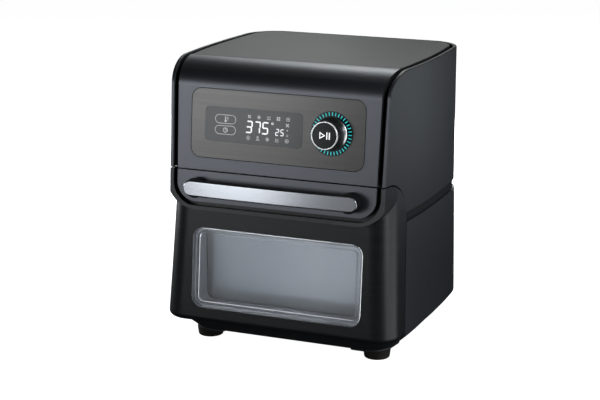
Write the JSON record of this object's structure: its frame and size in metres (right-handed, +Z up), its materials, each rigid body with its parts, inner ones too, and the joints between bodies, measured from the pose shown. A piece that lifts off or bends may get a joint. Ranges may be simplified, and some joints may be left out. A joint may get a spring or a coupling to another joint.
{
  "type": "air fryer",
  "caption": "Countertop air fryer with a pull-out window drawer and lift-out crisper plate, a turning dial with a press button, a bar handle, a fan heater and rubber feet.",
  "frame": {"origin": "on the floor under the feet, at the middle of the box round the whole appliance", "axes": "+Z up, the front with the drawer and the dial faces -Y, +X to the right seen from the front"},
  "size_m": [0.3154, 0.3161, 0.366],
  "materials": {
    "body_black": "satin black",
    "trim_black": "matt black",
    "cover_grey": "fine satin grey-black",
    "panel_gunmetal": "gunmetal, soft gloss",
    "drawer_black": "black, brushed across",
    "rubber_black": "matt",
    "fixing_steel": "zinc plated",
    "sheet_steel": "plain sheet",
    "control_metal": "gunmetal, brushed across",
    "lens_dark": "dark smoked lens",
    "ring_black": "black gloss",
    "light_teal": "lit teal",
    "knob_chrome": "bright, turned",
    "handle_silver": "bright, brushed along",
    "clear_glass": "clear",
    "pot_coated": "dark non-stick coating",
    "element_steel": "dark, heat tinted",
    "motor_steel": "grey",
    "bush_brass": "turned",
    "fan_aluminium": "plain",
    "inner_plastic": "matt",
    "board_green": "solder mask"
  },
  "bodies": {
    "housing": {"upper_housing": "body_black", "lower_housing": "body_black", "base_pan": "body_black", "seam_band": "trim_black", "gutter_trims": "trim_black", "drawer_bay_frame": "trim_black", "exhaust_grille": "trim_black", "top_cover": "cover_grey", "front_panel": "panel_gunmetal", "rubber_feet": "rubber_black", "cord_gland": "rubber_black", "housing_screws": "fixing_steel", "drawer_rails": "fixing_steel", "heater_clips": "fixing_steel", "inner_liner": "sheet_steel", "heater_housing": "sheet_steel", "exhaust_duct": "sheet_steel", "motor_bracket": "sheet_steel", "heater_guard": "sheet_steel", "control_plate": "control_metal", "display_lens": "lens_dark", "dial_mask_ring": "ring_black", "dial_light_guide": "light_teal", "heating_element": "element_steel", "temperature_probe": "element_steel", "fan_motor": "motor_steel", "motor_bushes": "bush_brass", "air_guide": "inner_plastic", "thermal_fuse": "inner_plastic", "reed_switch": "inner_plastic", "ribbon_cable": "inner_plastic", "display_module": "inner_plastic", "encoder": "inner_plastic", "transformer": "inner_plastic", "control_board": "board_green", "power_board": "board_green"},
    "drawer": {"drawer_front": "drawer_black", "handle_panel": "panel_gunmetal", "handle_face": "handle_silver", "handle_grip": "trim_black", "drawer_screws": "fixing_steel", "window_glass": "clear_glass", "window_tunnel": "trim_black", "inner_cover": "trim_black", "inner_glass": "clear_glass", "drawer_pot": "pot_coated", "drawer_seal": "rubber_black", "drawer_magnet": "fixing_steel"},
    "crisper": {"crisper_plate": "pot_coated", "crisper_bumpers": "rubber_black"},
    "dial": {"dial_knob": "knob_chrome", "encoder_shaft": "fixing_steel"},
    "start_button": {"button_cap": "ring_black", "button_plunger": "inner_plastic"},
    "fan": {"fan_shaft": "fixing_steel", "motor_rotor": "motor_steel", "hot_fan": "fan_aluminium", "cooling_fan": "inner_plastic", "fan_nuts": "fixing_steel"}
  },
  "joints": [
    {"name": "drawer_slide", "type": "slide", "parent": "housing", "child": "drawer", "axis": [0, -1, 0], "range_m": [0, 0.27]},
    {"name": "crisper_lift", "type": "slide", "parent": "drawer", "child": "crisper", "axis": [0, 0, 1], "range_m": [0, 0.1565]},
    {"name": "dial_turn", "type": "hinge", "parent": "housing", "child": "dial", "pos_m": [0.072, -0.12629, 0.29083], "axis": [0, -0.9954, 0.0958], "continuous": true},
    {"name": "button_press", "type": "slide", "parent": "housing", "child": "start_button", "axis": [0, 0.9954, -0.0958], "range_m": [0, 0.0012], "stiffness_N_per_m": 600},
    {"name": "fan_spin", "type": "hinge", "parent": "housing", "child": "fan", "pos_m": [0, 0.021, 0.3], "axis": [0, 0, 1], "continuous": true}
  ]
}
